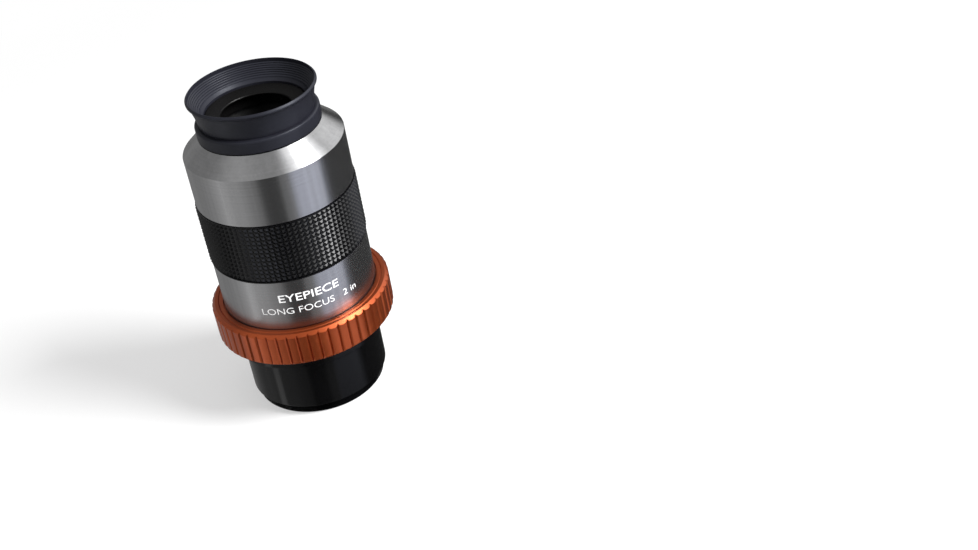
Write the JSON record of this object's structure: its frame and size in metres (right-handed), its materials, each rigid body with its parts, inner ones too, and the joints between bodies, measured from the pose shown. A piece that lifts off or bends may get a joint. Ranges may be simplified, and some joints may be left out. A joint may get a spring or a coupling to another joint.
{
  "type": "telescope eyepiece",
  "caption": "Long-focus two-inch telescope eyepiece with knurled grip and fold-down rubber eyecup, seated in a ribbed twist-lock holder.",
  "frame": {"origin": "centre of the lower end face of the holder's threaded spigot, on the optical axis", "axes": "+Z along the optical axis towards the observer's eye; +X and +Y are across it, with the lettering on the -Y side"},
  "size_m": [0.0724, 0.0724, 0.1351],
  "materials": {
    "gloss_black": "gloss black anodised",
    "steel": "ground",
    "orange_anodised": "orange anodised, satin",
    "nylon": "natural",
    "brass": "turned",
    "chrome": "polished",
    "matt_black": "matt black anodised",
    "silver": "fine turned, clear",
    "grip_rubber": "diamond-cut moulding",
    "optical_glass": "coated",
    "eyecup_rubber": "matt"
  },
  "bodies": {
    "holder": {"holder_tube": "gloss_black", "ring_stop_pin": "steel", "ring_retaining_nut": "gloss_black"},
    "lock_ring": {"lock_ring": "orange_anodised"},
    "pressure_ring": {"pressure_ring": "nylon"},
    "collet": {"compression_collet": "brass"},
    "eyepiece": {"nosepiece_barrel": "chrome", "field_stop": "matt_black", "lower_housing": "silver", "upper_housing": "silver", "grip_sleeve": "grip_rubber", "lens_cell": "matt_black", "eye_flint_lens": "optical_glass", "eye_crown_lens": "optical_glass", "lens_spacer": "matt_black", "field_crown_lens": "optical_glass", "field_flint_lens": "optical_glass", "lens_retaining_ring": "matt_black", "eye_stop_ring": "matt_black", "eyecup_band": "eyecup_rubber", "eyecup_funnel": "eyecup_rubber"},
    "eyecup_rim": {"eyecup_rim": "eyecup_rubber"}
  },
  "joints": [
    {"name": "lock_ring_twist", "type": "hinge", "parent": "holder", "child": "lock_ring", "pos_m": [0, 0, 0.039], "axis": [0, 0, 1], "range_deg": [0, 40]},
    {"name": "clamp_release", "type": "slide", "parent": "holder", "child": "pressure_ring", "axis": [0, 0, 1], "range_m": [0, 0.0007]},
    {"name": "eyepiece_turn", "type": "hinge", "parent": "holder", "child": "collet", "pos_m": [0, 0, 0.037], "axis": [0, 0, 1], "continuous": true},
    {"name": "eyepiece_slide", "type": "slide", "parent": "collet", "child": "eyepiece", "axis": [0, 0, 1], "range_m": [0, 0.037]},
    {"name": "eyecup_fold", "type": "slide", "parent": "eyepiece", "child": "eyecup_rim", "axis": [0, 0, -1], "range_m": [0, 0.009], "deforming": ["eyecup_funnel"]}
  ],
  "couplings": [
    {"joint": "clamp_release", "follows": "lock_ring_twist", "m_per_rad": 0.001}
  ]
}
